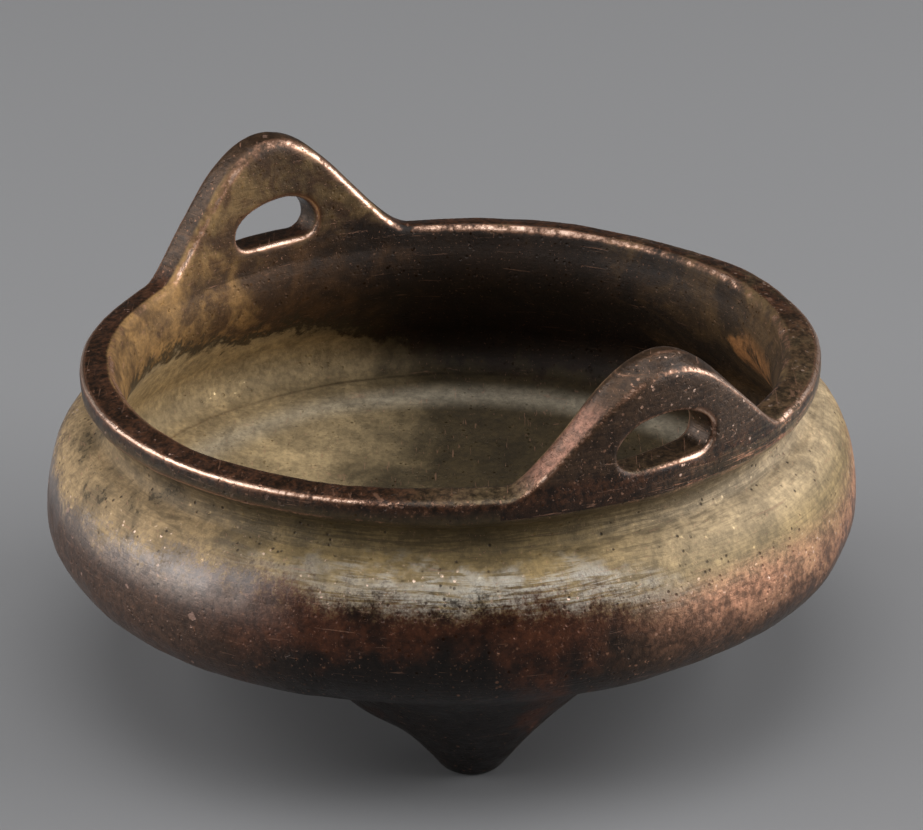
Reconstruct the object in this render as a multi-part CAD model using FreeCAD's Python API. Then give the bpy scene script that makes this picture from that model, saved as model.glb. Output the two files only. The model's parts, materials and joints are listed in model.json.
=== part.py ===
import FreeCAD, Part
import math
import os

# A small cast bronze incense burner, in millimetres. A low round bowl with a thick lip stands
# on three blunt feet, and two loop ears rise out of the lip. The floor is z = 0 and the axis of
# the bowl is the Z axis. The ears stand on the X axis and one foot points along +Y.
# Bowl, ears and feet are six castings. Each ear stands in a notch of the lip, on a curved
# tongue, and each foot sits flat under a swelling of the bowl, on a round spigot.

os.makedirs("parts", exist_ok=True)

# Outside of the bowl, from the underside up to the waist of the neck
belly_radius = 60.0
underside_level = 13.4
belly_rise = 13.4
corner_radius = 8.0
side_radius = 27.0
shoulder_radius = 8.9
waist_inset = 8.7
waist_rise = 16.2
neck_radius = 2.6

# Lip, measured from the waist
lip_overhang = 2.8
lip_width = 4.9
lip_rise = 6.9
lip_top_drop = 0.8
lip_under_round = 1.0
lip_outer_round = 0.9
lip_inner_round = 1.6

# Inside of the bowl
wall = 3.5
inner_neck_radius = 9.0

# Ears, made by hand and not quite alike
left_ear_inner_height = 17.6
left_ear_outer_height = 18.2
left_ear_reach = 24.5
left_ear_fullness_share = 0.7
right_ear_inner_height = 18.0
right_ear_outer_height = 14.8
right_ear_reach = 23.5
right_ear_fullness_share = 0.68
ear_run_out = 0.5
ear_thickness = 5.9
ear_outer_round = 1.7
ear_inner_round = 2.1
ear_gap_count = 20

# Opening through each ear, cut by hand: the top of its arch stands off the middle
left_eye_width = 15.0
left_eye_rise = 0.5
left_eye_lean = -1.8
right_eye_width = 16.0
right_eye_rise = 0.7
right_eye_lean = -0.6
eye_height = 7.4
eye_corner = 2.7
eye_edge_round = 0.7

# Tongue under each ear
tongue_thickness = 1.4
tongue_depth = 2.2
tongue_half_span = 12.0
tongue_wall = 1.3

# Feet, whose roots widen out of sight inside the bowl's wall
foot_count = 3
foot_inset = 24.0
foot_tip_radius = 4.0
foot_tip_round = 1.9
foot_root_relief = 28.0
foot_root_inset = 6.0
foot_root_drop = 6.3
foot_slope_share = 0.55
foot_root_round = 10.5
foot_joint_drop = 2.4
foot_gap_count = 6
spigot_radius = 4.0
spigot_length = 3.0

# Room for the braze, how far a cutting body runs past what it cuts, and how near counts as touching
braze_gap = 0.15
overrun = 5.0
touch_limit = 0.001

# Sizes that follow
belly_level = underside_level + belly_rise
waist_radius = belly_radius - waist_inset
waist_level = belly_level + waist_rise
lip_radius = waist_radius + lip_overhang
lip_level = waist_level + lip_rise
lip_inner_radius = lip_radius - lip_width
ear_half_span = max(left_ear_reach, right_ear_reach) + ear_run_out
foot_ring_radius = belly_radius - foot_inset
foot_root_radius = belly_radius - foot_root_relief
foot_root_level = belly_level - foot_root_drop
foot_root_shift = foot_ring_radius + foot_root_radius + foot_root_inset - belly_radius
foot_joint_level = underside_level - foot_joint_drop
corner_centre_radius = belly_radius - corner_radius
underside_radius = ((corner_centre_radius ** 2 + belly_rise ** 2 - corner_radius ** 2)
                    / (2 * (belly_rise - corner_radius)))
neck_centre_radius = waist_radius + neck_radius
lip_centre_radius = lip_radius - lip_under_round
seat_level = waist_level + math.sqrt((neck_radius + lip_under_round) ** 2
                                     - (neck_centre_radius - lip_centre_radius) ** 2)
inner_waist_radius = waist_radius - wall
seat_inner_radius = (inner_waist_radius + inner_neck_radius
                     - math.sqrt(inner_neck_radius ** 2 - (seat_level - waist_level) ** 2))
underside_centre = FreeCAD.Vector(0, 0, underside_level + underside_radius)
corner_centre = FreeCAD.Vector(corner_centre_radius, 0, belly_level)


def point(radius, level):
    """A point of a section in the XZ plane."""
    return FreeCAD.Vector(radius, 0, level)


def line(start, end):
    """A straight edge."""
    return Part.LineSegment(start, end).toShape()


def arc(centre, start, end):
    """The shorter arc from start to end about a centre."""
    middle = (start - centre) + (end - centre)
    return Part.Arc(start, centre + middle.normalize() * centre.distanceToPoint(start), end).toShape()


def towards(centre, target, distance):
    """The point at a distance from a centre, on the way to a target or away from it."""
    return centre + (target - centre).normalize() * distance


def rounded_corner(before, corner, after, radius):
    """An arc that rounds a corner between two straight lines."""
    back = (before - corner).normalize()
    ahead = (after - corner).normalize()
    half_angle = back.getAngle(ahead) / 2
    reach = radius / math.tan(half_angle)
    centre = corner + (back + ahead).normalize() * (radius / math.sin(half_angle))
    return arc(centre, corner + back * reach, corner + ahead * reach)


def first(edge):
    """Where an edge starts."""
    return edge.firstVertex(True).Point


def last(edge):
    """Where an edge ends."""
    return edge.lastVertex(True).Point


def turned(edges):
    """The solid that a closed section makes when it turns once round the Z axis."""
    face = Part.Face(Part.Wire(edges))
    return face.revolve(FreeCAD.Vector(0, 0, 0), FreeCAD.Vector(0, 0, 1), 360)


def belly_edges():
    """The belly's section from the middle of its underside to its waist.

    Five arcs run smoothly into each other: underside, corner, side, shoulder and neck.
    """
    side_centre = point(belly_radius - side_radius, belly_level)
    neck_centre = point(neck_centre_radius, waist_level)
    side_reach = side_radius - shoulder_radius
    neck_reach = shoulder_radius + neck_radius
    apart = side_centre.distanceToPoint(neck_centre)
    along = (side_reach ** 2 - neck_reach ** 2 + apart ** 2) / (2 * apart)
    outward = (neck_centre - side_centre).normalize()
    across = FreeCAD.Vector(outward.z, 0, -outward.x)
    shoulder_centre = (side_centre + outward * along
                       + across * math.sqrt(side_reach ** 2 - along ** 2))
    middle = point(0, underside_level)
    corner = towards(corner_centre, underside_centre, -corner_radius)
    widest = point(belly_radius, belly_level)
    shoulder = towards(shoulder_centre, side_centre, -shoulder_radius)
    neck = towards(neck_centre, shoulder_centre, neck_radius)
    waist = point(waist_radius, waist_level)
    return [arc(underside_centre, middle, corner), arc(corner_centre, corner, widest),
            arc(side_centre, widest, shoulder), arc(shoulder_centre, shoulder, neck),
            arc(neck_centre, neck, waist)]


def inside_edges():
    """The inside's section from the middle of its floor to the seat of the ears.

    The floor and its corner follow the outside. From there a straight slant narrows to the neck,
    so that the wall is thick behind the shoulder.
    """
    neck_centre = point(inner_waist_radius + inner_neck_radius, waist_level)
    round_radius = corner_radius - wall
    apart = corner_centre.distanceToPoint(neck_centre)
    outward = (neck_centre - corner_centre).normalize()
    across = FreeCAD.Vector(outward.z, 0, -outward.x)
    along = (round_radius + inner_neck_radius) / apart
    facing = outward * along + across * math.sqrt(1 - along ** 2)
    middle = point(0, underside_level + wall)
    corner = towards(corner_centre, underside_centre, -round_radius)
    slant_foot = corner_centre + facing * round_radius
    slant_top = neck_centre - facing * inner_neck_radius
    seat = point(seat_inner_radius, seat_level)
    return [arc(underside_centre, middle, corner), arc(corner_centre, corner, slant_foot),
            line(slant_foot, slant_top), arc(neck_centre, slant_top, seat)]


def lip_edges(outer_radius, outer_level, inner_radius, inner_level, outer_round, inner_round):
    """Edges over the lip or an ear: up the outer face, over the sloped top, down the inner face."""
    outer_foot = point(outer_radius, seat_level)
    outer_corner = point(outer_radius, outer_level)
    inner_corner = point(inner_radius, inner_level)
    inner_foot = point(seat_inner_radius, seat_level)
    outer_arc = rounded_corner(outer_foot, outer_corner, inner_corner, outer_round)
    inner_arc = rounded_corner(outer_corner, inner_corner, inner_foot, inner_round)
    return [line(outer_foot, first(outer_arc)), outer_arc, line(last(outer_arc), first(inner_arc)),
            inner_arc, line(last(inner_arc), inner_foot)]


def plain_lip_edges():
    """The lip's own section above the level where the ears are seated."""
    return lip_edges(lip_radius, lip_level - lip_top_drop, lip_inner_radius, lip_level,
                     lip_outer_round, lip_inner_round)


def filled_bowl():
    """The bowl's outer form up to the top of the lip, not yet hollow."""
    waist = point(waist_radius, waist_level)
    neck_centre = point(neck_centre_radius, waist_level)
    lip_centre = point(lip_centre_radius, seat_level)
    under_lip = towards(neck_centre, lip_centre, neck_radius)
    lip_foot = point(lip_radius, seat_level)
    lip = plain_lip_edges()[:3]
    top = last(lip[-1])
    return turned(belly_edges() + [
        arc(neck_centre, waist, under_lip), arc(lip_centre, under_lip, lip_foot), *lip,
        line(top, point(0, top.z)), line(point(0, top.z), point(0, underside_level))])


def cavity():
    """The space inside the bowl, run on above the lip."""
    inner_arc, inner_line = plain_lip_edges()[3:]
    rim = first(inner_arc)
    above = rim.z + overrun
    return turned(inside_edges() + [
        line(last(inner_line), first(inner_line)), inner_arc,
        line(rim, point(rim.x, above)), line(point(rim.x, above), point(0, above)),
        line(point(0, above), point(0, underside_level + wall))])


def foot_centre(level):
    """The middle of a foot at a level. It moves in towards the axis of the bowl on the way up."""
    reach = foot_ring_radius - foot_root_shift * (level / foot_root_level) ** 3
    return FreeCAD.Vector(reach, 0, level)


def slab(bottom, top):
    """A flat block between two levels, wider than the bowl."""
    half = belly_radius + overrun
    return Part.makeBox(2 * half, 2 * half, top - bottom, FreeCAD.Vector(-half, -half, bottom))


def whole_foot():
    """One foot from its blunt tip to its root inside the bowl's wall, pointing along +X."""
    rings = []
    for step in range(foot_gap_count + 1):
        share = step / foot_gap_count
        swell = foot_slope_share * share + (1 - foot_slope_share) * share ** 3
        radius = foot_tip_radius + (foot_root_radius - foot_tip_radius) * swell
        rings.append(Part.Wire(Part.makeCircle(radius, foot_centre(foot_root_level * share))))
    foot = Part.makeLoft(rings, True, False)
    tip_edges = [edge for edge in foot.Edges if edge.BoundBox.ZMax < foot_tip_round]
    return foot.makeFillet(foot_tip_round, tip_edges)


def around(shape, count):
    """Copies of a shape, evenly spaced round the Z axis, with one of them along +Y."""
    return [placed(shape, 90 + 360 * turn / count) for turn in range(count)]


def placed(shape, angle):
    """A copy of a shape turned round the Z axis."""
    copy = shape.copy()
    copy.rotate(FreeCAD.Vector(0, 0, 0), FreeCAD.Vector(0, 0, 1), angle)
    return copy


def ring_piece(inner_radius, outer_radius, bottom, top, half_angle):
    """A block that follows the rim, as far to each side of the X axis as half_angle says."""
    corners = [point(inner_radius, bottom), point(outer_radius, bottom),
               point(outer_radius, top), point(inner_radius, top), point(inner_radius, bottom)]
    face = Part.Face(Part.makePolygon(corners))
    face.rotate(FreeCAD.Vector(0, 0, 0), FreeCAD.Vector(0, 0, 1), -half_angle)
    return face.revolve(FreeCAD.Vector(0, 0, 0), FreeCAD.Vector(0, 0, 1), 2 * half_angle)


def rim_angle(length):
    """The angle in degrees that a length along the lip's outer edge takes up."""
    return math.degrees(length / lip_radius)


def ear_blank(inner_height, outer_height, reach, fullness):
    """The ear with no opening: sections of the lip that swell upward to the middle of the ear."""
    sections = []
    for step in range(ear_gap_count + 1):
        distance = ear_half_span * (2 * step / ear_gap_count - 1)
        share = min(abs(distance) / reach, 1)
        swell = ((1 + math.cos(math.pi * share)) / 2) ** fullness
        edges = lip_edges(
            lip_radius, lip_level - lip_top_drop + outer_height * swell,
            lip_inner_radius - (ear_thickness - lip_width) * swell,
            lip_level + inner_height * swell,
            lip_outer_round + (ear_outer_round - lip_outer_round) * swell,
            lip_inner_round + (ear_inner_round - lip_inner_round) * swell)
        edges.append(line(last(edges[-1]), first(edges[0])))
        section = Part.Wire(edges)
        section.rotate(FreeCAD.Vector(0, 0, 0), FreeCAD.Vector(0, 0, 1), rim_angle(distance))
        sections.append(section)
    return Part.makeLoft(sections, True, False)


def eye(width, rise, lean):
    """The half-moon opening of an ear, as a bar that runs right through it."""
    half = width / 2
    bottom = lip_level + rise
    spring = bottom + eye_corner
    near = lip_inner_radius - overrun
    depth = lip_width + 2 * overrun

    def place(across, level):
        return FreeCAD.Vector(near, across, level)

    def flank(end):
        """One side of the arch: a quarter ellipse from its end up to the leaning top."""
        foot, middle = place(end, spring), place(lean, spring)
        crown = place(lean, bottom + eye_height)
        far, near_by = sorted((foot, crown), key=middle.distanceToPoint, reverse=True)
        return Part.ArcOfEllipse(Part.Ellipse(far, near_by, middle), 0, math.pi / 2).toShape()

    slant = eye_corner * (1 - math.sqrt(0.5))
    outline = [
        line(place(eye_corner - half, bottom), place(half - eye_corner, bottom)),
        Part.Arc(place(half - eye_corner, bottom), place(half - slant, bottom + slant),
                 place(half, spring)).toShape(),
        flank(half), flank(-half),
        Part.Arc(place(-half, spring), place(slant - half, bottom + slant),
                 place(eye_corner - half, bottom)).toShape(),
    ]
    face = Part.Face(Part.Wire(Part.__sortEdges__(outline)))
    return face.extrude(FreeCAD.Vector(depth, 0, 0))


def tongue(gap):
    """The tongue under an ear, or with a gap the groove that takes it."""
    inner_radius = inner_waist_radius + tongue_wall
    return ring_piece(inner_radius - gap, inner_radius + tongue_thickness + gap,
                      seat_level - tongue_depth - gap, seat_level,
                      rim_angle(tongue_half_span + gap))


def lies_on(edge, solid):
    """Whether the middle of an edge lies on a solid's surface."""
    middle = edge.valueAt((edge.FirstParameter + edge.LastParameter) / 2)
    return solid.Shells[0].distToShape(Part.Vertex(middle))[0] < touch_limit


def ear(inner_height, outer_height, reach, fullness, opening):
    """An ear that stands on the +X side, its opening softened along both faces."""
    solid = ear_blank(inner_height, outer_height, reach, fullness).cut(opening)
    rim_edges = [edge for edge in solid.Edges
                 if lies_on(edge, opening) and edge.BoundBox.XLength < ear_thickness / 2]
    return solid.makeFillet(eye_edge_round, rim_edges).fuse(tongue(0))


def spigot(gap):
    """The round spigot on top of a foot, or with a gap the socket that takes it."""
    return Part.makeCylinder(spigot_radius + gap, spigot_length + gap, foot_centre(foot_joint_level))


def foot():
    """A foot up to the joint, with its spigot."""
    return whole_foot().common(slab(0, foot_joint_level)).fuse(spigot(0))


def bowl():
    """The bowl with the roots of its feet, hollowed and cut for ears and feet."""
    belly = placed(filled_bowl(), 90 + 180 / foot_count)
    roots = around(whole_foot(), foot_count)
    solid = belly.fuse(roots)
    meeting = [edge for edge in solid.Edges
               if lies_on(edge, belly) and any(lies_on(edge, root) for root in roots)]
    solid = solid.makeFillet(foot_root_round, meeting)
    solid = solid.cut(placed(cavity(), 90 + 180 / foot_count))
    solid = solid.cut(slab(-overrun, foot_joint_level))
    notch = ring_piece(lip_inner_radius - overrun, lip_radius + overrun, seat_level,
                       lip_level + overrun, rim_angle(ear_half_span))
    for angle in (0, 180):
        solid = solid.cut(placed(notch, angle)).cut(placed(tongue(braze_gap), angle))
    for socket in around(spigot(braze_gap), foot_count):
        solid = solid.cut(socket)
    return solid


pieces = {
    "bowl": bowl(),
    "ear_left": placed(ear(left_ear_inner_height, left_ear_outer_height, left_ear_reach,
                           left_ear_fullness_share,
                           eye(left_eye_width, left_eye_rise, left_eye_lean)), 180),
    "ear_right": ear(right_ear_inner_height, right_ear_outer_height, right_ear_reach,
                     right_ear_fullness_share,
                     eye(right_eye_width, right_eye_rise, right_eye_lean)),
}
for name, solid in zip(("foot_back", "foot_left", "foot_right"), around(foot(), foot_count)):
    pieces[name] = solid

for name, solid in pieces.items():
    solid.exportStep("parts/" + name + ".step")
    box = solid.BoundBox
    print(name, solid.isValid(), len(solid.Solids), "volume", round(solid.Volume),
          "x", round(box.XMin, 1), round(box.XMax, 1), "y", round(box.YMin, 1), round(box.YMax, 1),
          "z", round(box.ZMin, 1), round(box.ZMax, 1))
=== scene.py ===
"""Dresses the cast bronze incense burner: its uneven skin, its patinas, the floor and the light.

The six castings are dressed together, so that bowl, ears and feet run into each other as the
dressed-down joints of the real one do, and are then parted again where the castings meet.
"""

import json
import math

import bpy
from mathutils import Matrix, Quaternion, Vector

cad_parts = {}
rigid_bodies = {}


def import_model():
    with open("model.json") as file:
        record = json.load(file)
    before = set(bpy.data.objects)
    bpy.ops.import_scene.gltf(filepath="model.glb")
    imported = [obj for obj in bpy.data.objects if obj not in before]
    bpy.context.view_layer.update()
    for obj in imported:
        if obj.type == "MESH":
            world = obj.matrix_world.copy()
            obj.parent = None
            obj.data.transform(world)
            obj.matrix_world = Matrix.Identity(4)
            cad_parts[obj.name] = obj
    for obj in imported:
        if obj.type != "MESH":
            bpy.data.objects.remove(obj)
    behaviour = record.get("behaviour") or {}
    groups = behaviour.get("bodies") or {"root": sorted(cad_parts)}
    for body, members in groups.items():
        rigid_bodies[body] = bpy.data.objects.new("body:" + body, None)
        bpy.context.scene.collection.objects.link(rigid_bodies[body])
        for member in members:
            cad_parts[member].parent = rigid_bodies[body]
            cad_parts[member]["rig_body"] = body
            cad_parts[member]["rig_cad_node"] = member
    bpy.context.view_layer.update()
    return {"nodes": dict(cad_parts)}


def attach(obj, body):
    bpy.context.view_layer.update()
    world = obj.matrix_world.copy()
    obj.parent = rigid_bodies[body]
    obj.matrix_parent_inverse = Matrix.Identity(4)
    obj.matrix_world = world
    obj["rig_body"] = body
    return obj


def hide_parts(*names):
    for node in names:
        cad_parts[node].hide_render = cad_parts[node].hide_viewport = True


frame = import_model()

MM = 0.001

# Where the castings meet
SEAT_LEVEL = 46.5 * MM
LIP_RADIUS = 54.1 * MM
EAR_HALF_ANGLE = 25.0 * MM / LIP_RADIUS
FOOT_LEVEL = 11.0 * MM
MERGE_REACH = 0.001 * MM

# The lower edge of the lip and the roots of the feet, which run softly into the bowl
LIP_EDGE_LEVEL = 43.4 * MM
LIP_EDGE_REACH = 3.0 * MM
NECK_RADIUS = 50.0 * MM
ROOT_LEVEL = 13.0 * MM
ROOT_REACH = 3.8 * MM
LIP_EDGE_ROUNDS = 50
ROOT_ROUNDS = 3 * LIP_EDGE_ROUNDS

# The front foot's flare is fuller on its left
FLARE_MIDDLE = Vector((22.7, -31.0, 11.5)) * MM
FLARE_REACH = 10.0 * MM
FLARE_SWELL = 2.1 * MM

# The skin, its waves, and how proud an edge stands before it is rubbed bright
SKIN_GRAIN = 0.55 * MM
SKIN_ROUNDS = 4
KEPT_SHARE = 0.5
BROAD_WAVE_SIZE = 22.0 * MM
BROAD_WAVE_HEIGHT = 0.9 * MM
DRESSING_SIZE = 5.0 * MM
DRESSING_HEIGHT = 0.18 * MM
EDGE_HEIGHT = 0.05 * MM
EDGE_ROUNDS = 5
SMOOTH_ANGLE = math.radians(50)

# The picture's direction: the side that faces the camera, seen from above
FRONT = math.radians(33.3)

# Directions as shares of right and ahead: square to the line through the ears
OFF_EARS_RIGHT = 0.836
OFF_EARS_AHEAD = 0.549

# Directions as shares of right and ahead: a little behind the far left and the far right
SIDE_RIGHT = 0.966
SIDE_AHEAD = 0.259

# Heights on the vessel in millimetres, each from where one look begins to where it is full
INNER_FLOOR_RISE = (15.0, 15.6)
INNER_WALL_RISE = (17.0, 18.0)
GLOW_RISE = (22.0, 32.0)
RED_RISE = (23.0, 33.0)
INNER_FLOOR_TOP = (30.0, 26.0)
BELOW_THE_SHOULDER = (41.5, 35.5)
UNDER_LIP_RISE = (38.0, 45.0)
FILM_TOP = (48.5, 45.0)
RIM_RISE = (44.5, 47.0)
WORN_RIM_RISE = (45.0, 46.5)
WORN_TIP_FALL = (12.0, 8.0)
LIP_FACE_FALL = (49.0, 47.0)
STREAKED_FALL = (51.0, 45.0)
LIP_TOP_FALL = (52.0, 50.0)
EAR_RISE = (50.0, 52.0)
LINING_RISE = (48.5, 55.0)
EAR_TOP_FALL = (68.0, 62.0)

# Bands of height in millimetres: lowest, highest, and how soft the edges are
COPPER_BAND = (27.0, 33.5, 2.5)
PAINTED_SHEEN_BAND = (32.5, 36.0, 2.0)
SATIN_BAND = (31.5, 38.0, 3.0)
RUST_BAND = (37.0, 43.0, 2.0)
SILL_BAND = (49.5, 53.0, 0.5)
FLANK_BAND = (51.0, 60.0, 2.0)

# The film's lower edge in millimetres, and how far its wave is turned in radians
FILM_EDGE_LEVEL = 33.0
FILM_EDGE_SWING = 3.6
FILM_EDGE_LEFT = 5.0
FILM_EDGE_FRONT_RIGHT = 1.5
FILM_EDGE_TURN = 0.31

# The ash tan bed inside in millimetres: its upper edge, its outer radius and its ring of painted
# highlight
BED_EDGE_LEVEL = 23.7
BED_EDGE_LEFT = 10.0
BED_EDGE_FAR_LEFT = 5.0
BED_RADIUS = (53.5, 52.5)
HIGHLIGHT_RING_RADII = (45.0, 49.0, 2.5)

# Browns of the bare skin, the lilac grey of a painted sheen, and a copper brown that is partly a
# painted glow
BLACK_BROWN = (0.009, 0.005, 0.003)
RED_BROWN = (0.080, 0.024, 0.009)
PLUM_BROWN = (0.078, 0.040, 0.024)
CHESTNUT = (0.070, 0.036, 0.018)
COPPER_BROWN = (0.58, 0.270, 0.160)
LIP_BROWN = (0.070, 0.027, 0.012)
EAR_BROWN = (0.085, 0.046, 0.024)
UMBER = (0.020, 0.010, 0.005)
PAINTED_SHEEN_LILAC = (0.33, 0.25, 0.20)

# Metal and knocks that show through; the rose cream also serves for painted glints and painted edge
# highlights
COPPER = (0.50, 0.26, 0.165)
ROSE_CREAM = (0.80, 0.58, 0.46)
CHIP_PINK = (0.42, 0.25, 0.19)
FLUSHED_PINK = (0.46, 0.22, 0.15)

# The film on neck and shoulder, the grey of a painted sheen along its edge, and a dark olive that
# also serves as painted shade
TAN = (0.30, 0.205, 0.105)
KHAKI = (0.22, 0.152, 0.062)
CREAM_TAN = (0.52, 0.395, 0.245)
PAINTED_SHEEN_GREY = (0.50, 0.46, 0.39)
DUSTY_OLIVE = (0.14, 0.100, 0.052)
DARK_OLIVE = (0.034, 0.023, 0.009)

# The inside
OCHRE = (0.27, 0.150, 0.052)
RUSTY_ORANGE = (0.38, 0.17, 0.060)
RUSSET = (0.085, 0.040, 0.015)
OLIVE_BROWN = (0.050, 0.034, 0.014)
ASH_TAN = (0.42, 0.310, 0.165)
PAINTED_HIGHLIGHT_GREY = (0.46, 0.40, 0.30)

# The satin coat, and the studio
COAT_ROUGHNESS = 0.27
COAT_IOR = 2.0
FLOOR_WIDTH = 8.0
FLOOR_COLOUR = (0.235, 0.236, 0.243)
FLOOR_ROUGHNESS = 0.6
SKY_COLOUR = (0.85, 0.82, 0.78)
SKY_STRENGTH = 0.06

# The camera, fitted to the picture's view
CAMERA_PLACE = Vector((446.6, -293.3, 273.55)) * MM
CAMERA_TARGET = Vector((0.88, 1.35, 38.47)) * MM
CAMERA_ROLL = -0.018
CAMERA_LENS = 154.2
CAMERA_SENSOR = 36
CAMERA_NEAR = 0.01


def pick(*objs):
    """Selects these objects only and makes the first of them active."""
    bpy.ops.object.select_all(action="DESELECT")
    for obj in objs:
        obj.select_set(True)
    bpy.context.view_layer.objects.active = objs[0]


def finish_modifier(obj, kind, **settings):
    """Adds a modifier with these settings and applies it."""
    modifier = obj.modifiers.new(kind.lower(), kind)
    for name, value in settings.items():
        setattr(modifier, name, value)
    pick(obj)
    bpy.ops.object.modifier_apply(modifier=modifier.name)


def copy_of(obj, name):
    """A copy of an object with its own mesh."""
    pick(obj)
    bpy.ops.object.duplicate()
    copy = bpy.context.active_object
    copy.name = name
    return copy


def whole_casting():
    """All six castings as one closed skin of even faces, true to the solids."""
    copies = [copy_of(node, "cast_" + name) for name, node in frame["nodes"].items()]
    for copy in copies:
        copy.parent = None
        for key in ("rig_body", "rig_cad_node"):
            del copy[key]
    pick(*copies)
    bpy.ops.object.join()
    solid = bpy.context.active_object
    bpy.ops.object.mode_set(mode="EDIT")
    bpy.ops.mesh.select_all(action="SELECT")
    bpy.ops.mesh.remove_doubles(threshold=MERGE_REACH)
    bpy.ops.object.mode_set(mode="OBJECT")
    skin = copy_of(solid, "whole_casting")
    finish_modifier(skin, "REMESH", mode="VOXEL", voxel_size=SKIN_GRAIN)
    finish_modifier(skin, "SHRINKWRAP", target=solid, wrap_method="NEAREST_SURFACEPOINT")
    finish_modifier(skin, "SMOOTH", factor=0.5, iterations=SKIN_ROUNDS)
    bpy.data.objects.remove(solid)
    return skin


def soften(skin, name, level, reach, beyond, rounds):
    """Smooths the skin round a height, outside a radius, as on a casting worn soft by much handling.
    """
    group = skin.vertex_groups.new(name=name)
    for vertex in skin.data.vertices:
        off = abs(vertex.co.z - level) / reach
        if off < 1 and vertex.co.xy.length > beyond:
            group.add([vertex.index], 1 - off, "REPLACE")
    finish_modifier(skin, "SMOOTH", factor=0.5, iterations=rounds, vertex_group=name)
    skin.vertex_groups.remove(skin.vertex_groups[name])


def swell_flare(skin):
    """Makes the underside fuller round one spot, where the front foot grows out of the bowl."""
    group = skin.vertex_groups.new(name="flare")
    for vertex in skin.data.vertices:
        off = (vertex.co - FLARE_MIDDLE).length / FLARE_REACH
        if off < 1 and vertex.normal.z < 0:
            group.add([vertex.index], (1 - off ** 2) ** 2, "REPLACE")
    finish_modifier(skin, "DISPLACE", strength=FLARE_SWELL, mid_level=0.0, vertex_group="flare")
    skin.vertex_groups.remove(skin.vertex_groups["flare"])


def make_uneven(skin, name, size, height):
    """Waves of this size and height, as a hand-dressed casting has."""
    waves = bpy.data.textures.new(name, "CLOUDS")
    waves.noise_scale = size
    waves.noise_depth = 1
    finish_modifier(skin, "DISPLACE", texture=waves, texture_coords="LOCAL", strength=height,
                    mid_level=0.5)


def mark_edges(skin):
    """Notes on the skin how far each spot stands proud of a smoothed copy, or lies below it."""
    soft = copy_of(skin, "soft_copy")
    finish_modifier(soft, "SMOOTH", factor=0.5, iterations=EDGE_ROUNDS)
    proud = skin.data.attributes.new("proud", "FLOAT", "POINT")
    for vertex, smoothed in zip(skin.data.vertices, soft.data.vertices):
        height = (vertex.co - smoothed.co).dot(vertex.normal)
        proud.data[vertex.index].value = height / EDGE_HEIGHT
    bpy.data.objects.remove(soft)


def parted(casting, name, block):
    """Takes what lies inside the block off the casting, and gives it back as its own piece."""
    piece = copy_of(casting, name)
    finish_modifier(piece, "BOOLEAN", operation="INTERSECT", object=block, solver="EXACT")
    finish_modifier(casting, "BOOLEAN", operation="DIFFERENCE", object=block, solver="EXACT")
    bpy.data.objects.remove(block)
    return piece


def notch_block(side):
    """The wedge that holds one ear: the one on +X, or with side -1 the one on -X."""
    depth = 30 * MM
    reach = 70 * MM
    bpy.ops.mesh.primitive_cylinder_add(
        vertices=3, radius=reach, depth=depth,
        location=(side * reach, 0, SEAT_LEVEL + depth / 2), rotation=(0, 0, side * math.pi / 2))
    block = bpy.context.active_object
    block.scale = (math.tan(EAR_HALF_ANGLE) / math.tan(math.pi / 6), 1, 1)
    bpy.ops.object.transform_apply(location=True, rotation=True, scale=True)
    return block


def slab_under(level):
    """A wide block with its top at this level."""
    width = 200 * MM
    bpy.ops.mesh.primitive_cube_add(size=width, location=(0, 0, level - width / 2))
    return bpy.context.active_object


def single_feet(feet):
    """The three feet one by one, named as the castings are."""
    pick(feet)
    bpy.ops.object.mode_set(mode="EDIT")
    bpy.ops.mesh.select_all(action="SELECT")
    bpy.ops.mesh.separate(type="LOOSE")
    bpy.ops.object.mode_set(mode="OBJECT")
    named = {}
    for foot in bpy.context.selected_objects:
        middle = sum((Vector(corner) for corner in foot.bound_box), Vector()) / len(foot.bound_box)
        if middle.y > 0:
            named["foot_back"] = foot
        elif middle.x < 0:
            named["foot_left"] = foot
        else:
            named["foot_right"] = foot
    return named


def dressed_castings():
    """The six dressed pieces by the names of the castings that they stand for."""
    casting = whole_casting()
    soften(casting, "under_lip", LIP_EDGE_LEVEL, LIP_EDGE_REACH, NECK_RADIUS, LIP_EDGE_ROUNDS)
    swell_flare(casting)
    soften(casting, "foot_roots", ROOT_LEVEL, ROOT_REACH, 0.0, ROOT_ROUNDS)
    make_uneven(casting, "broad_waves", BROAD_WAVE_SIZE, BROAD_WAVE_HEIGHT)
    make_uneven(casting, "hand_dressing", DRESSING_SIZE, DRESSING_HEIGHT)
    mark_edges(casting)
    finish_modifier(casting, "DECIMATE", ratio=KEPT_SHARE)
    pieces = {"ear_right": parted(casting, "ear_right", notch_block(1)),
              "ear_left": parted(casting, "ear_left", notch_block(-1))}
    feet = parted(casting, "feet", slab_under(FOOT_LEVEL))
    pieces.update(single_feet(feet))
    pieces["bowl"] = casting
    return pieces


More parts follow.
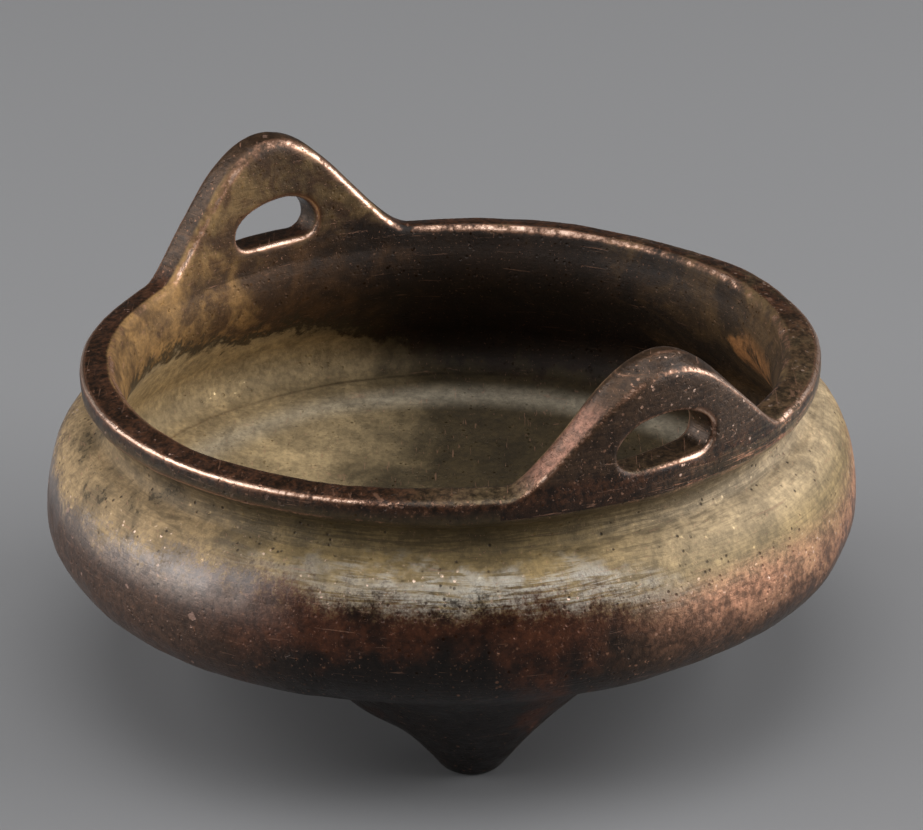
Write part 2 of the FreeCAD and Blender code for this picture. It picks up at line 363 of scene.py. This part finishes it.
class Recipe:
    """Writes the nodes of one material or of one shared effect."""

    def __init__(self, tree):
        self.tree = tree

    def node(self, kind, inputs=(), **settings):
        """A node with these settings, fed by numbers, colours or other nodes' outputs."""
        made = self.tree.nodes.new(kind)
        for name, value in settings.items():
            setattr(made, name, value)
        for socket, value in dict(inputs).items():
            self.feed(made.inputs[socket], value)
        return made

    def feed(self, socket, value):
        """Links an output to a socket, or sets the socket's own value."""
        if isinstance(value, bpy.types.NodeSocket):
            self.tree.links.new(value, socket)
        elif isinstance(value, tuple) and len(value) == 3 and socket.type == "RGBA":
            socket.default_value = (*value, 1)
        else:
            socket.default_value = value

    def give(self, out, **values):
        """Feeds the outputs of a shared effect by their names."""
        for name, value in values.items():
            self.feed(out[name], value)

    def sum(self, operation, *terms):
        """The result of one sum on numbers."""
        return self.node("ShaderNodeMath", dict(enumerate(terms)), operation=operation).outputs[0]

    def add(self, *terms):
        """All terms added."""
        result = terms[0]
        for term in terms[1:]:
            result = self.sum("ADD", result, term)
        return result

    def product(self, *terms):
        """All terms multiplied."""
        result = terms[0]
        for term in terms[1:]:
            result = self.sum("MULTIPLY", result, term)
        return result

    def less(self, first, second):
        """The first number less the second."""
        return self.sum("SUBTRACT", first, second)

    def swing(self, cloud, reach):
        """A cloud from 0 to 1 that swings round 0 instead, over this reach."""
        return self.product(self.less(cloud, 0.5), reach)

    def rise(self, value, low, high):
        """Goes softly from 0 at low to 1 at high, which may also lie below low."""
        inputs = {"Value": value, "From Min": low, "From Max": high}
        return self.node("ShaderNodeMapRange", inputs, interpolation_type="SMOOTHSTEP").outputs[0]

    def between(self, value, low, high, soft):
        """1 between low and high, with edges this soft."""
        return self.product(self.rise(value, low - soft, low + soft),
                            self.rise(value, high + soft, high - soft))

    def blend(self, share, first, second, way="MIX"):
        """Two colours, mixed by a share."""
        made = self.node("ShaderNodeMix", data_type="RGBA", blend_type=way)
        for socket, value in ((0, share), (6, first), (7, second)):
            self.feed(made.inputs[socket], value)
        return made.outputs[2]

    def level(self, share, first, second):
        """Two numbers, mixed by a share."""
        made = self.node("ShaderNodeMix", data_type="FLOAT")
        for socket, value in ((0, share), (2, first), (3, second)):
            self.feed(made.inputs[socket], value)
        return made.outputs[0]

    def mottled(self, colour, cloud, depth):
        """The colour made lighter and darker by a cloud, by up to this depth."""
        return self.blend(1.0, colour, self.level(cloud, 1 - depth, 1 + depth), "MULTIPLY")

    def clouds(self, place, scale, detail, roughness, twist=0.0):
        """Soft random patches from 0 to 1."""
        inputs = {"Vector": place, "Scale": scale, "Detail": detail, "Roughness": roughness,
                  "Distortion": twist}
        return self.node("ShaderNodeTexNoise", inputs).outputs["Fac"]

    def grains(self, place, scale):
        """Distance to the nearest of many scattered grains."""
        inputs = {"Vector": place, "Scale": scale}
        return self.node("ShaderNodeTexVoronoi", inputs).outputs["Distance"]

    def stretched(self, place, amounts):
        """A place with its axes scaled."""
        return self.node("ShaderNodeVectorMath", {0: place, 1: amounts},
                         operation="MULTIPLY").outputs[0]


def shared_effect(name, inputs, numbers, places=()):
    """A new node group with number inputs, number and place outputs, and its recipe."""
    group = bpy.data.node_groups.new(name, "ShaderNodeTree")
    sockets = group.interface
    for socket, default in inputs.items():
        made = sockets.new_socket(socket, in_out="INPUT", socket_type="NodeSocketFloat")
        made.default_value = default
    for socket in numbers:
        sockets.new_socket(socket, in_out="OUTPUT", socket_type="NodeSocketFloat")
    for socket in places:
        sockets.new_socket(socket, in_out="OUTPUT", socket_type="NodeSocketVector")
    recipe = Recipe(group)
    given = recipe.node("NodeGroupInput").outputs
    out = recipe.node("NodeGroupOutput").inputs
    return group, recipe, given, out


def vessel_place():
    """Where a spot lies on the vessel.

    Spot, Height and Radius are in millimetres. Ahead and Right are 1 at the front and at the far
    right, and Around is the angle from the front. Inward and Upward are 1 where the skin faces
    the axis or the sky. Strokes is a place that brush strokes round the vessel follow.
    """
    group, recipe, _, out = shared_effect(
        "vessel_place", {}, ("Around", "Height", "Radius", "Ahead", "Right", "Inward", "Upward"),
        ("Spot", "Strokes"))
    given = recipe.node("ShaderNodeTexCoord").outputs
    turned = recipe.node("ShaderNodeMapping", {
        "Vector": given["Object"], "Rotation": (0, 0, FRONT),
        "Scale": (1 / MM, 1 / MM, 1 / MM)}).outputs[0]
    axes = recipe.node("ShaderNodeSeparateXYZ", {0: turned}).outputs
    flat = recipe.stretched(turned, (1, 1, 0))
    radius = recipe.node("ShaderNodeVectorMath", {0: flat}, operation="LENGTH").outputs["Value"]
    ahead = recipe.sum("DIVIDE", axes["X"], radius)
    right = recipe.sum("DIVIDE", axes["Y"], radius)
    outward = recipe.stretched(given["Object"], (1, 1, 0))
    outward = recipe.node("ShaderNodeVectorMath", {0: outward}, operation="NORMALIZE").outputs[0]
    facing = recipe.node("ShaderNodeVectorMath", {0: outward, 1: given["Normal"]},
                         operation="DOT_PRODUCT").outputs["Value"]
    strokes = recipe.node("ShaderNodeCombineXYZ", {
        0: ahead, 1: right, 2: recipe.product(axes["Z"], 0.1)}).outputs[0]
    recipe.give(out, Spot=turned, Around=recipe.sum("ARCTAN2", axes["Y"], axes["X"]),
                Height=axes["Z"], Radius=radius, Ahead=ahead, Right=right,
                Inward=recipe.product(facing, -1.0),
                Upward=recipe.node("ShaderNodeSeparateXYZ", {0: given["Normal"]}).outputs["Z"],
                Strokes=strokes)
    return group


def wear_and_edge_highlight(place_group):
    """Where handling has worn the edges bright, where edges are painted bright as highlight, and
    where dirt has stayed in the hollows.

    Worn and Line follow edges that stand proud and face neither straight outward nor straight up.
    The front left is worn more. The back, as on the far rim's inner edge, and the front right, along
    the near ear's top edge, get more as painted highlight. The front of the lip and the sills of the
    ears' holes get less.
    """
    group, recipe, given, out = shared_effect(
        "wear_and_edge_highlight", {"Amount": 1.0}, ("Worn", "Line", "Crevice"))
    place = recipe.node("ShaderNodeGroup", node_tree=place_group).outputs
    ahead, right, height = place["Ahead"], place["Right"], place["Height"]
    proud = recipe.node("ShaderNodeAttribute", attribute_name="proud").outputs["Fac"]
    patches = recipe.clouds(place["Spot"], 0.12, 3.0, 0.6)
    rubs = recipe.clouds(place["Spot"], 1.3, 3.0, 0.65)
    to_front_left = recipe.less(recipe.product(ahead, 0.64), recipe.product(right, 0.77))
    front_left = recipe.product(recipe.rise(to_front_left, 0.65, 0.95), 0.5)
    # Painted highlight: the back and the front right get more, standing in for lamp highlights on the
    # far rim's inner edge and the near ear's top edge
    back = recipe.product(recipe.rise(ahead, -0.1, -0.6), 0.45)
    front_right = recipe.product(
        recipe.between(right, 0.55, 0.8, 0.08), recipe.rise(ahead, 0.3, 0.6),
        recipe.rise(place["Upward"], 0.3, 0.5), 0.7)
    front = recipe.product(
        recipe.between(right, -0.35, 0.35, 0.12), recipe.rise(ahead, 0.7, 0.9),
        recipe.rise(height, *LIP_TOP_FALL), -0.3)
    handling_and_highlight = recipe.add(front_left, back, recipe.add(front_right, front))
    uneven = recipe.add(recipe.swing(patches, 1.8), recipe.swing(rubs, 1.5))
    in_reach = recipe.sum("MAXIMUM", recipe.rise(height, *WORN_RIM_RISE),
                          recipe.rise(height, *WORN_TIP_FALL))
    off_ears = recipe.less(recipe.product(right, OFF_EARS_RIGHT),
                           recipe.product(ahead, OFF_EARS_AHEAD))
    sill = recipe.product(recipe.rise(recipe.sum("ABSOLUTE", off_ears), 0.17, 0.13),
                          recipe.between(height, *SILL_BAND))
    rubbing_and_highlight = recipe.product(recipe.add(uneven, handling_and_highlight, 0.7), given["Amount"], in_reach,
                             recipe.level(sill, 1.0, 0.6))
    pressed = recipe.product(proud, rubbing_and_highlight)
    turned = recipe.sum("ABSOLUTE", place["Inward"])
    recipe.give(out,
                Worn=recipe.product(recipe.between(turned, 0.35, 0.92, 0.1),
                                    recipe.rise(pressed, 0.45, 1.0)),
                Line=recipe.product(recipe.between(turned, 0.52, 0.84, 0.08),
                                    recipe.rise(pressed, 0.65, 1.1)),
                Crevice=recipe.rise(proud, -0.3, -1.3))
    return group


def cast_skin(place_group):
    """The cast surface: clouds of many sizes, strokes, pits, specks, scratches and relief."""
    group, recipe, given, out = shared_effect(
        "cast_skin", {"Pitting": 1.0, "Scratching": 1.0},
        ("Broad", "Patches", "Swirls", "Fine", "Strokes", "Grit", "Pits", "Specks", "Chips",
         "Scratches", "Relief"))
    place = recipe.node("ShaderNodeGroup", node_tree=place_group).outputs
    spot = place["Spot"]
    broad = recipe.rise(recipe.clouds(spot, 0.055, 3.0, 0.6), 0.3, 0.7)
    patches = recipe.rise(recipe.clouds(spot, 0.2, 4.0, 0.62), 0.3, 0.7)
    swirls = recipe.rise(recipe.clouds(spot, 0.16, 4.0, 0.6, 0.7), 0.32, 0.68)
    fine = recipe.rise(recipe.clouds(spot, 0.95, 4.0, 0.72), 0.3, 0.7)
    grit = recipe.rise(recipe.clouds(spot, 2.8, 2.0, 0.6), 0.3, 0.7)
    brushed = recipe.clouds(recipe.stretched(place["Strokes"], (7, 7, 20)), 1.0, 4.0, 0.68, 0.5)
    pits = recipe.product(recipe.rise(recipe.grains(spot, 0.8), 0.26, 0.08),
                          recipe.rise(patches, 0.45, 0.75), given["Pitting"])
    specks = recipe.product(recipe.rise(recipe.grains(spot, 0.85), 0.26, 0.14),
                            recipe.rise(fine, 0.45, 0.7))
    chips = recipe.rise(recipe.clouds(spot, 0.45, 3.0, 0.5), 0.69, 0.72)
    slanted = recipe.node("ShaderNodeMapping", {
        "Vector": spot, "Rotation": (0.6, 0.9, 0.3), "Scale": (0.05, 2.6, 2.6)}).outputs[0]
    cross = recipe.rise(recipe.clouds(slanted, 1.0, 2.0, 0.5, 0.4), 0.66, 0.72)
    scratches = recipe.product(recipe.sum("MAXIMUM", cross, recipe.rise(brushed, 0.64, 0.7)),
                               given["Scratching"])
    relief = recipe.add(recipe.product(fine, 0.035), recipe.product(pits, -0.12),
                        recipe.product(scratches, -0.015), recipe.product(brushed, 0.06),
                        recipe.product(chips, -0.04))
    recipe.give(out, Broad=broad, Patches=patches, Swirls=swirls, Fine=fine,
                Strokes=recipe.rise(brushed, 0.3, 0.7), Grit=grit, Pits=pits, Specks=specks,
                Chips=chips, Scratches=scratches, Relief=relief)
    return group


def start_material(name, groups, wear_and_highlight, pitting, scratching):
    """A node material: its recipe, its shader, and the outputs of the shared effects."""
    material = bpy.data.materials.new(name)
    material.use_nodes = True
    recipe = Recipe(material.node_tree)
    shader = material.node_tree.nodes["Principled BSDF"].inputs
    shader["Coat Roughness"].default_value = COAT_ROUGHNESS
    shader["Coat IOR"].default_value = COAT_IOR
    place_group, wear_and_highlight_group, skin_group = groups
    place = recipe.node("ShaderNodeGroup", node_tree=place_group)
    worn = recipe.node("ShaderNodeGroup", {"Amount": wear_and_highlight}, node_tree=wear_and_highlight_group)
    skin = recipe.node("ShaderNodeGroup", {"Pitting": pitting, "Scratching": scratching},
                       node_tree=skin_group)
    return material, recipe, shader, place.outputs, worn.outputs, skin.outputs


def to_left(recipe, place, low, high):
    """Goes softly from 0 to 1 towards the far left."""
    return recipe.rise(recipe.product(place["Right"], -1.0), low, high)


def belly_brown(recipe, place, skin, left, right, reds):
    """The belly's brown: red under the film, and black below it and right ahead, which is painted
    shade.
    """
    across, height = place["Right"], place["Height"]
    # Painted shade: darker low down and straight ahead, where the belly faces away from the lamps
    clouded = recipe.add(recipe.product(skin["Broad"], 0.65),
                         recipe.product(skin["Patches"], 0.35),
                         recipe.product(recipe.between(across, -0.5, -0.3, 0.15), 0.22),
                         recipe.product(recipe.rise(height, *RED_RISE), 0.5),
                         recipe.product(recipe.between(across, -0.08, 0.1, 0.06), -0.35),
                         recipe.product(recipe.between(across, 0.17, 0.36, 0.06), 0.3))
    brown = recipe.blend(recipe.rise(clouded, 0.65 - reds, 1.25 - reds), BLACK_BROWN, RED_BROWN)
    brown = recipe.blend(left, brown, PLUM_BROWN)
    return recipe.blend(recipe.product(right, recipe.level(skin["Patches"], 0.5, 1.0)),
                        brown, CHESTNUT)


def rim_brown(recipe, place, skin, streaked):
    """The brown of lip and ears, dusty on top in front, dark on its face, streaked at the right."""
    ahead, right, height = place["Ahead"], place["Right"], place["Height"]
    gritty = recipe.add(recipe.product(skin["Patches"], 0.35), recipe.product(skin["Fine"], 0.4),
                        recipe.product(skin["Grit"], 0.25))
    brown = recipe.blend(recipe.rise(gritty, 0.15, 0.85), UMBER, LIP_BROWN)
    dusty = recipe.product(recipe.level(recipe.rise(ahead, 0.8, 0.95), 0.5, 1.0),
                           recipe.rise(ahead, -0.3, 0.1), recipe.rise(right, -0.2, 0.1),
                           recipe.rise(place["Upward"], 0.5, 0.8),
                           recipe.level(skin["Fine"], 0.3, 0.8))
    brown = recipe.blend(dusty, brown, DUSTY_OLIVE)
    brown = recipe.blend(recipe.product(recipe.rise(height, *LIP_FACE_FALL), 0.75), brown, UMBER)
    filmed = recipe.product(recipe.rise(streaked, *STREAKED_FALL), recipe.rise(right, 0.4, 0.8), 0.6)
    brown = recipe.blend(filmed, brown, DUSTY_OLIVE)
    brushed = recipe.add(recipe.product(skin["Strokes"], 0.5), recipe.product(skin["Broad"], 0.5))
    return recipe.blend(recipe.rise(height, *EAR_RISE), brown,
                        recipe.blend(brushed, UMBER, EAR_BROWN))


def dark_skin(recipe, place, skin, reds):
    """The skin under everything: plum to the left, red and black ahead, copper to the right, with a
    painted glow and painted glints on the copper.
    """
    height = place["Height"]
    left = to_left(recipe, place, 0.3, 0.75)
    right = recipe.rise(place["Right"], 0.2, 0.6)
    colour = belly_brown(recipe, place, skin, left, right, reds)
    flecked = recipe.add(recipe.product(skin["Patches"], 0.65), recipe.product(skin["Fine"], 0.35))
    # The copper to the right is partly a painted glow standing in for the right lamp's highlight, and
    # the glints are painted highlights on specks
    copper_and_painted_glow = recipe.product(recipe.rise(place["Right"], 0.35, 0.68),
                             recipe.rise(height, *GLOW_RISE),
                             recipe.level(recipe.rise(flecked, 0.2, 0.75), 0.35, 0.9))
    colour = recipe.blend(copper_and_painted_glow, colour, COPPER_BROWN)
    # Painted sheen: lilac grey just under the film's edge at the left, where the left lamp's
    # highlight lies
    lilac_sheen = recipe.product(left, recipe.between(height, *PAINTED_SHEEN_BAND),
                           recipe.level(skin["Patches"], 0.3, 0.75))
    colour = recipe.blend(lilac_sheen, colour, PAINTED_SHEEN_LILAC)
    streaked = recipe.add(height, recipe.product(recipe.less(skin["Strokes"], 0.5), right, 6.0))
    rim = rim_brown(recipe, place, skin, streaked)
    colour = recipe.blend(recipe.rise(streaked, *RIM_RISE), colour, rim)
    colour = recipe.mottled(colour, skin["Fine"], 0.45)
    colour = recipe.blend(recipe.product(skin["Chips"], left, 0.8), colour, CHIP_PINK)
    glints = recipe.product(skin["Specks"], recipe.level(right, 0.35, 1.0),
                            recipe.rise(skin["Patches"], 0.3, 0.7))
    return recipe.blend(glints, colour, recipe.blend(copper_and_painted_glow, COPPER, ROSE_CREAM))


def film_edge(recipe, place):
    """The height of the film's lower edge, lowest midway between two feet."""
    turns = recipe.add(recipe.product(place["Around"], 3.0), FILM_EDGE_TURN)
    between_feet = recipe.product(recipe.sum("COSINE", turns), FILM_EDGE_SWING)
    at_left = recipe.product(to_left(recipe, place, 0.15, 0.75), FILM_EDGE_LEFT)
    front_right = recipe.product(recipe.between(place["Right"], 0.2, 0.5, 0.1),
                                 recipe.rise(place["Ahead"], 0.0, 0.3), FILM_EDGE_FRONT_RIGHT)
    return recipe.add(between_feet, FILM_EDGE_LEVEL, recipe.add(at_left, front_right))


def olive_film(recipe, place, skin):
    """The matte film on neck and shoulder: its cover and its colour."""
    ahead, height = place["Ahead"], place["Height"]
    left = to_left(recipe, place, 0.3, 0.8)
    right = recipe.rise(place["Right"], 0.2, 0.9)
    above = recipe.add(recipe.less(height, film_edge(recipe, place)),
                       recipe.swing(skin["Patches"], 2.6))
    ragged = recipe.add(above, recipe.swing(skin["Fine"], 1.8), recipe.swing(skin["Grit"], 1.8))
    soft = recipe.level(right, 2.6, 4.5)
    # The film thins over the copper band on the right, so that the painted glow shows
    film_thin_over_glow = recipe.product(recipe.between(height, *COPPER_BAND),
                                recipe.between(place["Right"], 0.45, 0.85, 0.2))
    cover = recipe.product(recipe.rise(ragged, recipe.product(soft, -1.0), soft),
                           recipe.rise(height, *FILM_TOP), recipe.rise(place["Inward"], 0.3, 0.0),
                           recipe.level(film_thin_over_glow, 1.0, 0.2))
    colour = recipe.blend(right, recipe.blend(left, KHAKI, TAN), CREAM_TAN)
    low_right = recipe.product(right, recipe.rise(height, *BELOW_THE_SHOULDER), 0.9)
    colour = recipe.blend(low_right, colour, KHAKI)
    # Painted shade: dark olive under the lip, strongest ahead, broken into strokes
    wisps = recipe.add(height, recipe.swing(skin["Strokes"], 8.0))
    under_lip = recipe.product(recipe.rise(wisps, *UNDER_LIP_RISE),
                               recipe.level(recipe.rise(ahead, 0.3, 0.9), 0.5, 0.7))
    colour = recipe.mottled(colour, skin["Swirls"], 0.3)
    colour = recipe.mottled(colour, skin["Strokes"], 0.22)
    colour = recipe.mottled(colour, skin["Fine"], 0.25)
    colour = recipe.blend(under_lip, colour, DARK_OLIVE)
    dirt = recipe.product(recipe.rise(skin["Swirls"], 0.3, 0.05),
                          recipe.rise(skin["Fine"], 0.4, 0.7), left, 0.8)
    colour = recipe.blend(dirt, colour, DARK_OLIVE)
    # Painted sheen: silver grey along the film's lower edge ahead, where the soft lamp's highlight
    # lies on the shoulder
    sheen = recipe.product(recipe.between(above, -0.8, 2.6, 1.4), recipe.rise(ahead, 0.75, 0.97),
                           recipe.level(recipe.rise(place["Right"], -0.4, 0.0), 0.35, 1.0),
                           recipe.rise(skin["Strokes"], 0.05, 0.7), 0.9)
    colour = recipe.blend(sheen, colour, PAINTED_SHEEN_GREY)
    colour = recipe.blend(recipe.product(skin["Pits"], 0.85), colour, UMBER)
    gritty = recipe.product(recipe.between(above, -1.5, 3.5, 1.5), skin["Specks"],
                            recipe.rise(skin["Patches"], 0.2, 0.8))
    return cover, recipe.blend(gritty, colour, ROSE_CREAM)


def inner_wall(recipe, place, skin, leftward, rightward):
    """The wall inside: dark at the back as painted shade, ochre at the left partly as painted light,
    rust at the far right.
    """
    loose = recipe.product(recipe.less(recipe.add(skin["Swirls"], skin["Patches"]), 1.0), 0.16)
    loose_left = recipe.add(leftward, loose)
    loose_right = recipe.add(rightward, loose)
    # Painted light and shade: dark at the back, away from the lamps, and ochre at the left, where the
    # right lamp lights the wall
    wall = recipe.blend(recipe.rise(loose_left, 0.3, 0.85), UMBER, RUSSET)
    wall = recipe.blend(recipe.rise(loose_left, 0.77, 1.04), wall, OCHRE)
    wall = recipe.blend(recipe.product(recipe.rise(loose_right, 0.7, 1.1), 0.2), wall, OCHRE)
    far_right = recipe.add(rightward, recipe.product(loose, 0.15))
    rust = recipe.product(recipe.rise(far_right, 0.98, 0.998),
                          recipe.between(place["Height"], *RUST_BAND), 0.8)
    wall = recipe.blend(rust, wall, RUSTY_ORANGE)
    loose_height = recipe.add(place["Height"], recipe.product(loose, 20.0))
    upper = recipe.product(recipe.rise(loose_height, *LINING_RISE), 0.7)
    lining = recipe.blend(recipe.product(recipe.rise(skin["Swirls"], 0.1, 0.9), 0.55),
                          RUSSET, KHAKI)
    return recipe.blend(upper, wall, lining)


def inner_bed(recipe, place, skin):
    """The floor inside: paler towards the left as painted light, with a ring of painted highlight
    where it curves up.
    """
    across = recipe.product(place["Right"], place["Radius"])
    # Painted light: the bed is paler towards the left, where the right lamp reaches it, and in broad
    # clouds
    pale = recipe.add(recipe.product(across, -0.034),
                      recipe.product(recipe.less(skin["Broad"], 0.2), 0.4))
    bed = recipe.blend(recipe.rise(pale, 0.2, 1.1), OLIVE_BROWN, ASH_TAN)
    # Painted highlight: a pale grey ring where the floor curves up into the wall
    ring = recipe.product(recipe.between(place["Radius"], *HIGHLIGHT_RING_RADII), 0.6)
    return recipe.blend(ring, bed, PAINTED_HIGHLIGHT_GREY)


def inner_film(recipe, place, skin):
    """The inside: wall, floor, and a band of painted shade at the left, where the floor's ash tan
    climbs.
    """
    right, ahead, height = place["Right"], place["Ahead"], place["Height"]
    wall_side = recipe.product(recipe.rise(place["Inward"], 0.1, 0.35),
                               recipe.rise(height, *INNER_WALL_RISE))
    floor_side = recipe.product(recipe.rise(height, *INNER_FLOOR_RISE),
                                recipe.rise(place["Radius"], *BED_RADIUS),
                                recipe.rise(place["Upward"], 0.3, 0.5),
                                recipe.rise(height, *INNER_FLOOR_TOP))
    cover = recipe.product(recipe.sum("MAXIMUM", wall_side, floor_side),
                           recipe.rise(height, *EAR_TOP_FALL))
    leaned = recipe.product(ahead, SIDE_AHEAD)
    leftward = recipe.less(recipe.product(right, -SIDE_RIGHT), leaned)
    rightward = recipe.less(recipe.product(right, SIDE_RIGHT), leaned)
    wall = inner_wall(recipe, place, skin, leftward, rightward)
    bed = inner_bed(recipe, place, skin)
    bed_edge = recipe.add(recipe.product(recipe.rise(leftward, 0.2, 0.72), BED_EDGE_LEFT),
                          recipe.product(recipe.rise(leftward, 0.8, 1.0), BED_EDGE_FAR_LEFT))
    above_bed = recipe.less(recipe.less(height, BED_EDGE_LEVEL), bed_edge)
    ragged = recipe.add(recipe.swing(skin["Patches"], 3.0), recipe.swing(skin["Fine"], 2.0))
    above_bed = recipe.add(above_bed, ragged)
    colour = recipe.blend(recipe.rise(above_bed, 1.5, -1.5), wall, bed)
    colour = recipe.mottled(colour, skin["Swirls"], 0.25)
    colour = recipe.mottled(colour, skin["Fine"], 0.25)
    # Painted shade: a dark olive band just above the bed's edge at the left, where wall and floor
    # meet
    painted_crevice_shade = recipe.product(recipe.between(above_bed, -0.5, 2.0, 1.0),
                           recipe.rise(leftward, 0.2, 0.6), 0.85)
    return cover, recipe.blend(painted_crevice_shade, colour, DARK_OLIVE)


def rubbed_and_highlit(recipe, skin, wear_and_highlight, colour):
    """Copper shining through at the edges and in scratches, a painted highlight along some edges, and
    dirt in the hollows.
    """
    colour = recipe.blend(recipe.product(wear_and_highlight["Crevice"], 0.7), colour, DARK_OLIVE)
    colour = recipe.blend(recipe.product(skin["Scratches"], 0.25), colour, COPPER)
    colour = recipe.blend(recipe.product(wear_and_highlight["Worn"], 0.7), colour, COPPER)
    # The rose cream line is worn metal at the front left, and painted highlight at the back and the
    # front right
    return recipe.blend(recipe.product(wear_and_highlight["Line"], 0.85), colour, ROSE_CREAM)


def feed_relief(recipe, shader, skin):
    """The fine relief of the cast skin."""
    inputs = {"Height": skin["Relief"], "Distance": MM, "Strength": 1.0}
    recipe.feed(shader["Normal"], recipe.node("ShaderNodeBump", inputs).outputs[0])


def finish_bronze(recipe, shader, place, skin, wear_and_highlight, colour, matte):
    """Feeds the shader: satin where the skin is bare, matte under a film, metal at worn and highlit
    edges.
    """
    bare = recipe.level(skin["Patches"], 0.3, 0.5)
    bright = recipe.sum("MAXIMUM", wear_and_highlight["Worn"], recipe.product(skin["Specks"], 0.8))
    satin = recipe.product(to_left(recipe, place, 0.25, 0.6),
                           recipe.between(place["Height"], *SATIN_BAND), 0.6)
    recipe.feed(shader["Base Color"], colour)
    recipe.feed(shader["Roughness"], recipe.level(bright, recipe.level(matte, bare, 0.65), 0.3))
    recipe.feed(shader["Metallic"], recipe.level(bright, recipe.level(matte, 0.45, 0.3), 0.95))
    recipe.feed(shader["Coat Weight"], recipe.product(satin, recipe.less(1.0, matte)))
    feed_relief(recipe, shader, skin)


def bowl_bronze(groups):
    """The bowl: olive film on neck and shoulder, brown belly, ochre and ash tan inside."""
    material, recipe, shader, place, wear_and_highlight, skin = start_material("bowl_bronze", groups, 1.0, 1.0, 1.0)
    colour = dark_skin(recipe, place, skin, 0.02)
    film, film_colour = olive_film(recipe, place, skin)
    colour = recipe.blend(film, colour, film_colour)
    lining, lining_colour = inner_film(recipe, place, skin)
    colour = recipe.blend(lining, colour, lining_colour)
    colour = rubbed_and_highlit(recipe, skin, wear_and_highlight, colour)
    matte = recipe.sum("MAXIMUM", film, lining)
    finish_bronze(recipe, shader, place, skin, wear_and_highlight, colour, matte)
    return material


def ear_bronze(groups):
    """The ears: dark brown, an olive film on the inner face, a flushed flank on the near ear."""
    material, recipe, shader, place, wear_and_highlight, skin = start_material("ear_bronze", groups, 0.92, 0.6, 2.0)
    colour = dark_skin(recipe, place, skin, 0.02)
    flank = recipe.product(recipe.between(place["Right"], 0.12, 0.42, 0.06),
                           recipe.rise(place["Ahead"], 0.0, 0.2),
                           recipe.rise(recipe.sum("ABSOLUTE", place["Inward"]), 0.7, 0.4),
                           recipe.between(place["Height"], *FLANK_BAND),
                           recipe.rise(place["Upward"], 0.2, 0.5))
    streaky = recipe.product(recipe.level(skin["Fine"], 0.2, 0.9),
                             recipe.level(skin["Patches"], 0.4, 1.0))
    colour = recipe.blend(recipe.product(flank, streaky), colour, FLUSHED_PINK)
    lining, lining_colour = inner_film(recipe, place, skin)
    colour = recipe.blend(lining, colour, recipe.mottled(lining_colour, skin["Broad"], 0.35))
    colour = rubbed_and_highlit(recipe, skin, wear_and_highlight, colour)
    finish_bronze(recipe, shader, place, skin, wear_and_highlight, colour, lining)
    return material


def foot_bronze(groups):
    """The feet: nearly black, a little worn at the tips."""
    material, recipe, shader, place, wear_and_highlight, skin = start_material("foot_bronze", groups, 0.5, 1.0, 1.0)
    colour = dark_skin(recipe, place, skin, -0.1)
    recipe.feed(shader["Base Color"], rubbed_and_highlit(recipe, skin, wear_and_highlight, colour))
    recipe.feed(shader["Roughness"], recipe.level(skin["Patches"], 0.3, 0.6))
    shader["Metallic"].default_value = 0.4
    feed_relief(recipe, shader, skin)
    return material


def lamp(name, bearing, lift, distance, width, power):
    """A square soft lamp. Bearing is seen from the camera: minus to the left, plus to the right."""
    light = bpy.data.objects.new(name, bpy.data.lights.new(name, "AREA"))
    bpy.context.scene.collection.objects.link(light)
    turn = math.radians(bearing) - FRONT
    rise = math.radians(lift)
    place = distance * Vector((math.cos(rise) * math.cos(turn), math.cos(rise) * math.sin(turn),
                               math.sin(rise)))
    light.location = place
    light.rotation_euler = (-place).to_track_quat("-Z", "Y").to_euler()
    light.data.size = width
    light.data.energy = power


def studio():
    """Pale floor, big soft lamps left, right and above."""
    bpy.ops.mesh.primitive_plane_add(size=FLOOR_WIDTH, location=(0, 0, 0))
    floor = bpy.context.active_object
    floor.name = "floor"
    pale = bpy.data.materials.new("pale_floor")
    pale.use_nodes = True
    shader = pale.node_tree.nodes["Principled BSDF"].inputs
    shader["Base Color"].default_value = (*FLOOR_COLOUR, 1)
    shader["Roughness"].default_value = FLOOR_ROUGHNESS
    floor.data.materials.append(pale)
    world = bpy.data.worlds.new("studio")
    bpy.context.scene.world = world
    world.use_nodes = True
    sky = world.node_tree.nodes["Background"].inputs
    sky["Color"].default_value = (*SKY_COLOUR, 1)
    sky["Strength"].default_value = SKY_STRENGTH
    lamp("left_lamp", bearing=-88, lift=25, distance=1.1, width=1.1, power=12)
    lamp("right_lamp", bearing=88, lift=25, distance=1.1, width=1.1, power=16)
    lamp("top_lamp", bearing=0, lift=78, distance=1.3, width=1.0, power=9)


def camera():
    """The photograph's view, from a camera fitted to the rim, the belly, the ears and the foot."""
    cam = bpy.data.objects.new("camera", bpy.data.cameras.new("camera"))
    bpy.context.scene.collection.objects.link(cam)
    aim = (CAMERA_TARGET - CAMERA_PLACE).to_track_quat("-Z", "Y")
    cam.location = CAMERA_PLACE
    cam.rotation_euler = (aim @ Quaternion((0, 0, 1), CAMERA_ROLL)).to_euler()
    cam.data.lens = CAMERA_LENS
    cam.data.sensor_width = CAMERA_SENSOR
    cam.data.clip_start = CAMERA_NEAR
    bpy.context.scene.camera = cam


def dress():
    """Makes the pieces, gives each its bronze, and puts them in the place of the castings."""
    pieces = dressed_castings()
    place_group = vessel_place()
    groups = (place_group, wear_and_edge_highlight(place_group), cast_skin(place_group))
    bronzes = {"bowl": bowl_bronze(groups), "ear": ear_bronze(groups), "foot": foot_bronze(groups)}
    for name, piece in pieces.items():
        kind = name.split("_")[0]
        piece.name = name + "_skin"
        piece.data.materials.clear()
        piece.data.materials.append(bronzes[kind])
        for face in piece.data.polygons:
            face.material_index = 0
        pick(piece)
        bpy.ops.object.shade_smooth_by_angle(angle=SMOOTH_ANGLE)
        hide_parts(name)
        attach(piece, "root")


dress()
studio()
camera()
bpy.context.scene.view_settings.view_transform = "Standard"
